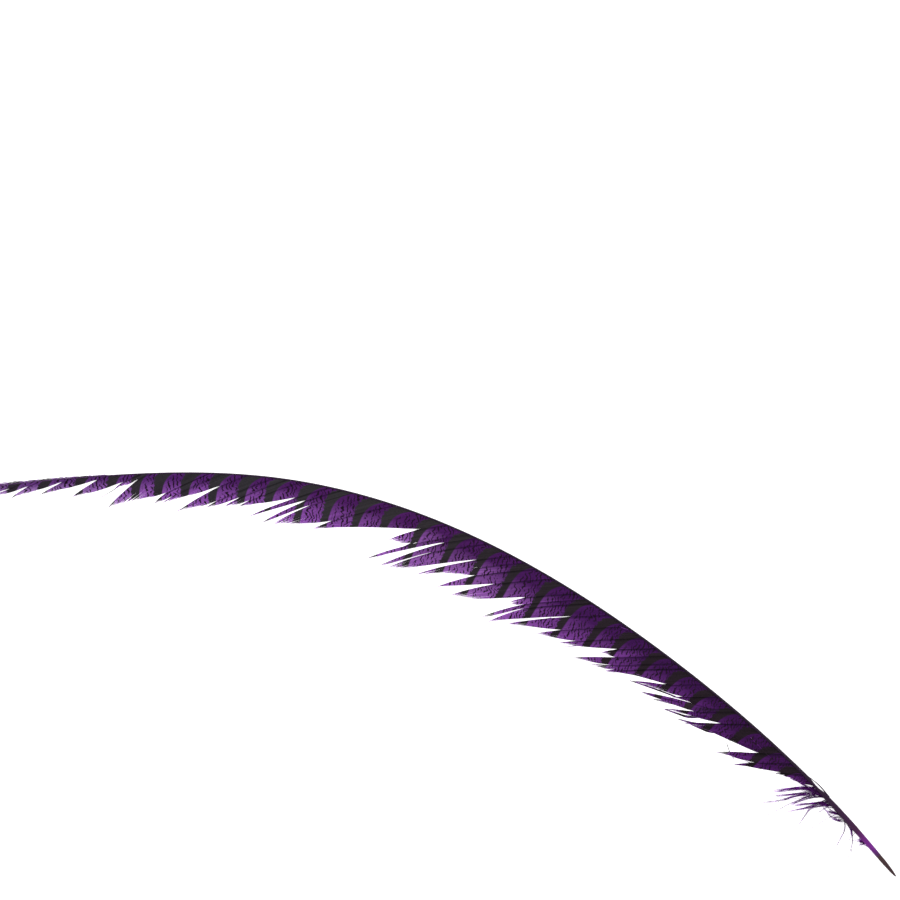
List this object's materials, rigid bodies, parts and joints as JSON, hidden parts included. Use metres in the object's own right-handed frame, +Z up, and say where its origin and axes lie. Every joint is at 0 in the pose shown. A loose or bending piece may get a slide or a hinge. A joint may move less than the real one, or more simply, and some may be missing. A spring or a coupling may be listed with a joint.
{
  "type": "pheasant tail feather",
  "caption": "Long narrow barred pheasant tail feather dyed purple, its shaft bent to one side, with a ragged wide vane split into locks and loose down at the quill.",
  "frame": {"origin": "middle of the feather's bounding box in plan, on the surface that it lies on", "axes": "+X along the feather towards the quill's cut end, +Y towards the outside of its bend, +Z up out of its upper side"},
  "size_m": [0.6266, 0.1024, 0.0034],
  "materials": {
    "dyed_keratin": "horny quill and shaft, dark maroon brown with a bright purple band above the quill's tip, smooth with a soft shine",
    "dyed_vane": "hooked barbs, deep purple with charcoal cross bars and fine dark wavy lines, soft satin",
    "dyed_fringe": "short soft barbs, barred purple and charcoal",
    "dyed_down": "loose wispy barbs without hooks, dark purple fading to pale tips"
  },
  "bodies": {
    "root": {"shaft": "dyed_keratin", "inner_vane": "dyed_vane", "outer_vane": "dyed_fringe", "downy_base": "dyed_down"}
  },
  "joints": []
}
